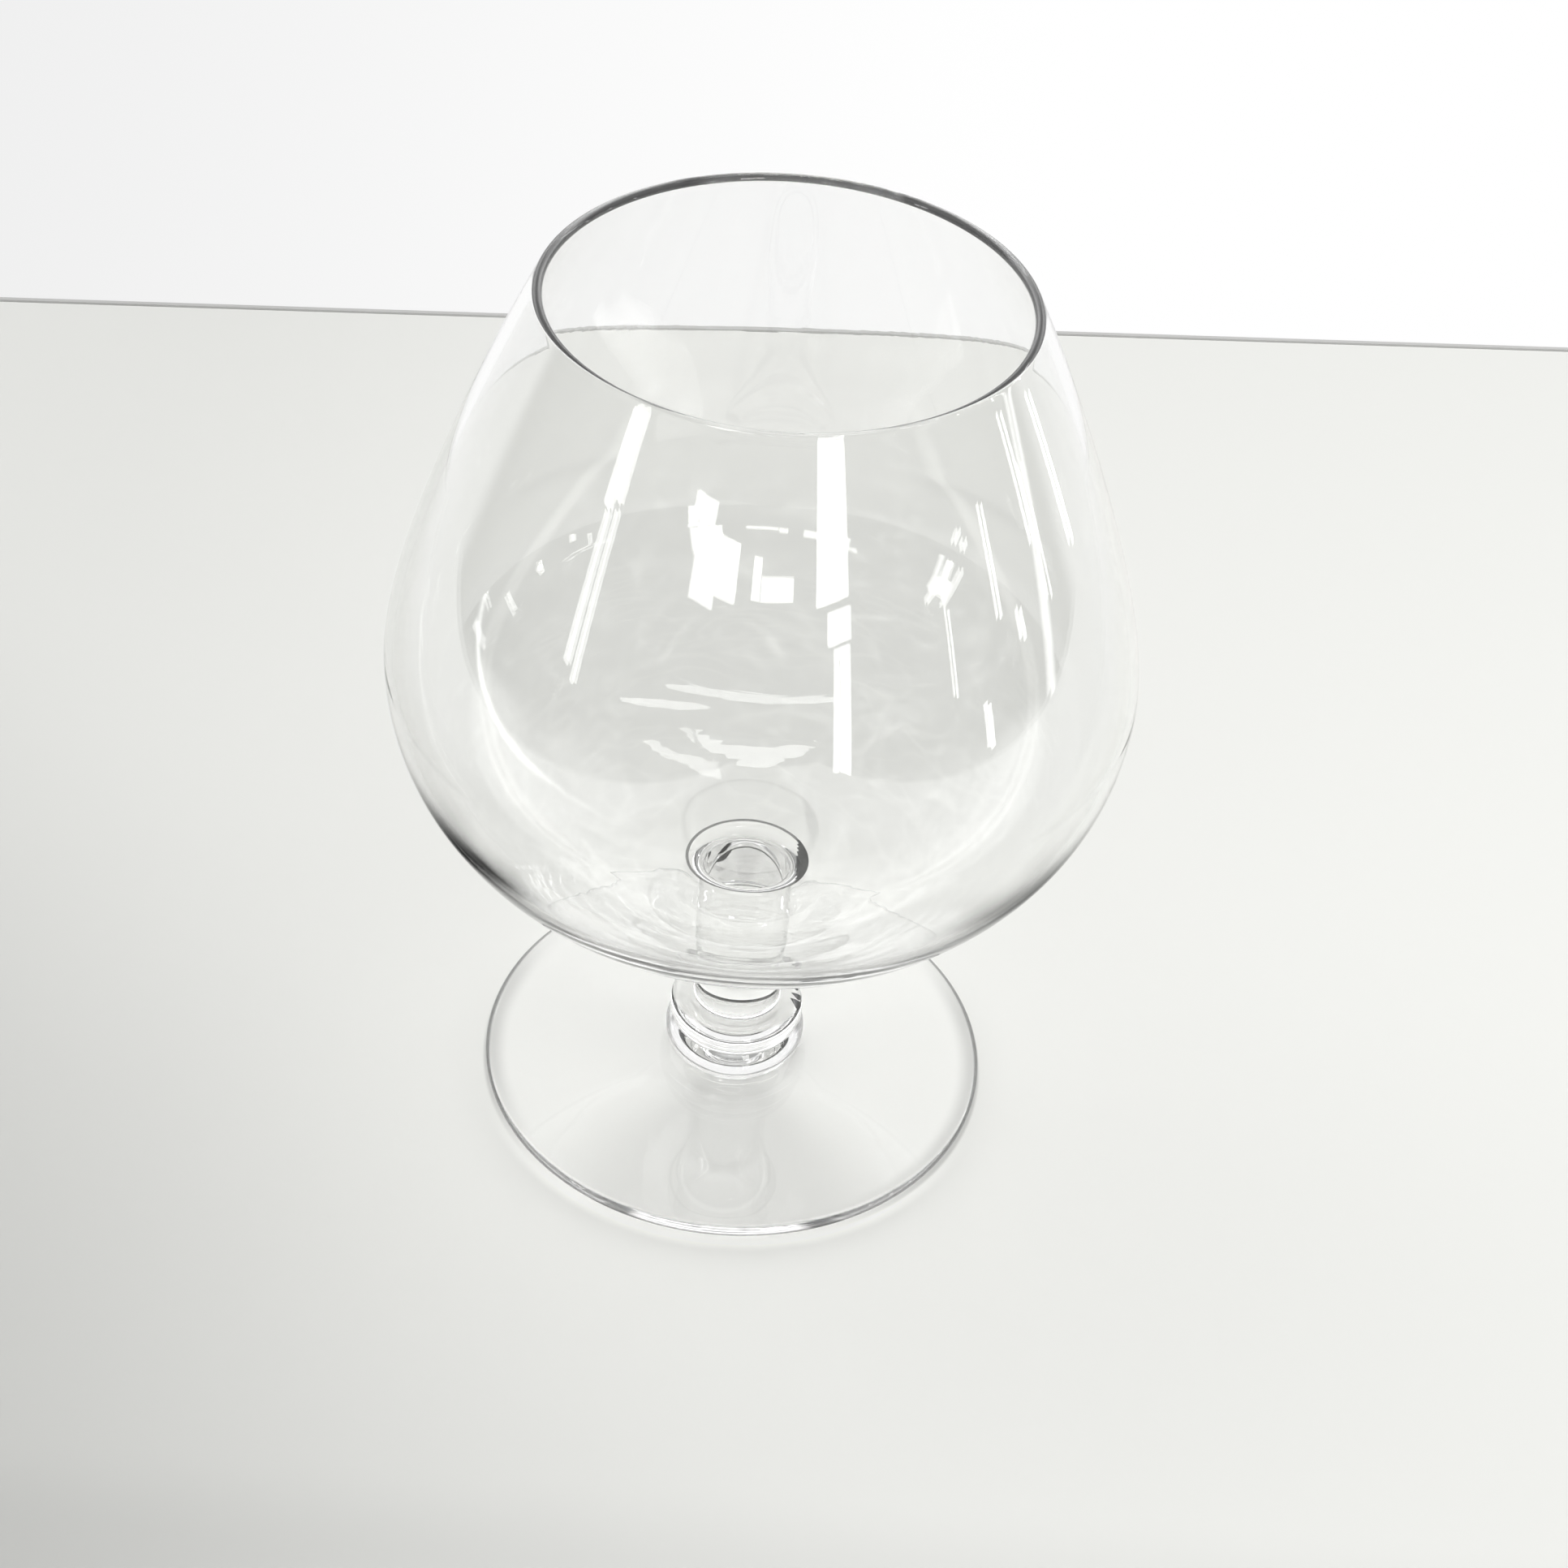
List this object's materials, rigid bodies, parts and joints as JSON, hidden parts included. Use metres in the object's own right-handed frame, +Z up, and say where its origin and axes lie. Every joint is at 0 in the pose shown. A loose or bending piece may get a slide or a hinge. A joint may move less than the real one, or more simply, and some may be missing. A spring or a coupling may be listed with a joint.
{
  "type": "brandy snifter",
  "caption": "Clear stemmed drinking glass: a wide-bellied bowl that narrows to the mouth, on a short stem with a knop and a round foot.",
  "frame": {"origin": "middle of the resting plane under the foot", "axes": "+Z up along the axis of the glass; X and Y lie in the resting plane and are interchangeable"},
  "size_m": [0.09, 0.09, 0.117],
  "materials": {
    "foot_glass": "clear, fire-polished",
    "stem_glass": "clear, fire-polished",
    "bowl_glass": "clear, fire-polished"
  },
  "bodies": {
    "root": {"foot": "foot_glass", "collar": "stem_glass", "stem": "stem_glass", "bowl": "bowl_glass"}
  },
  "joints": []
}
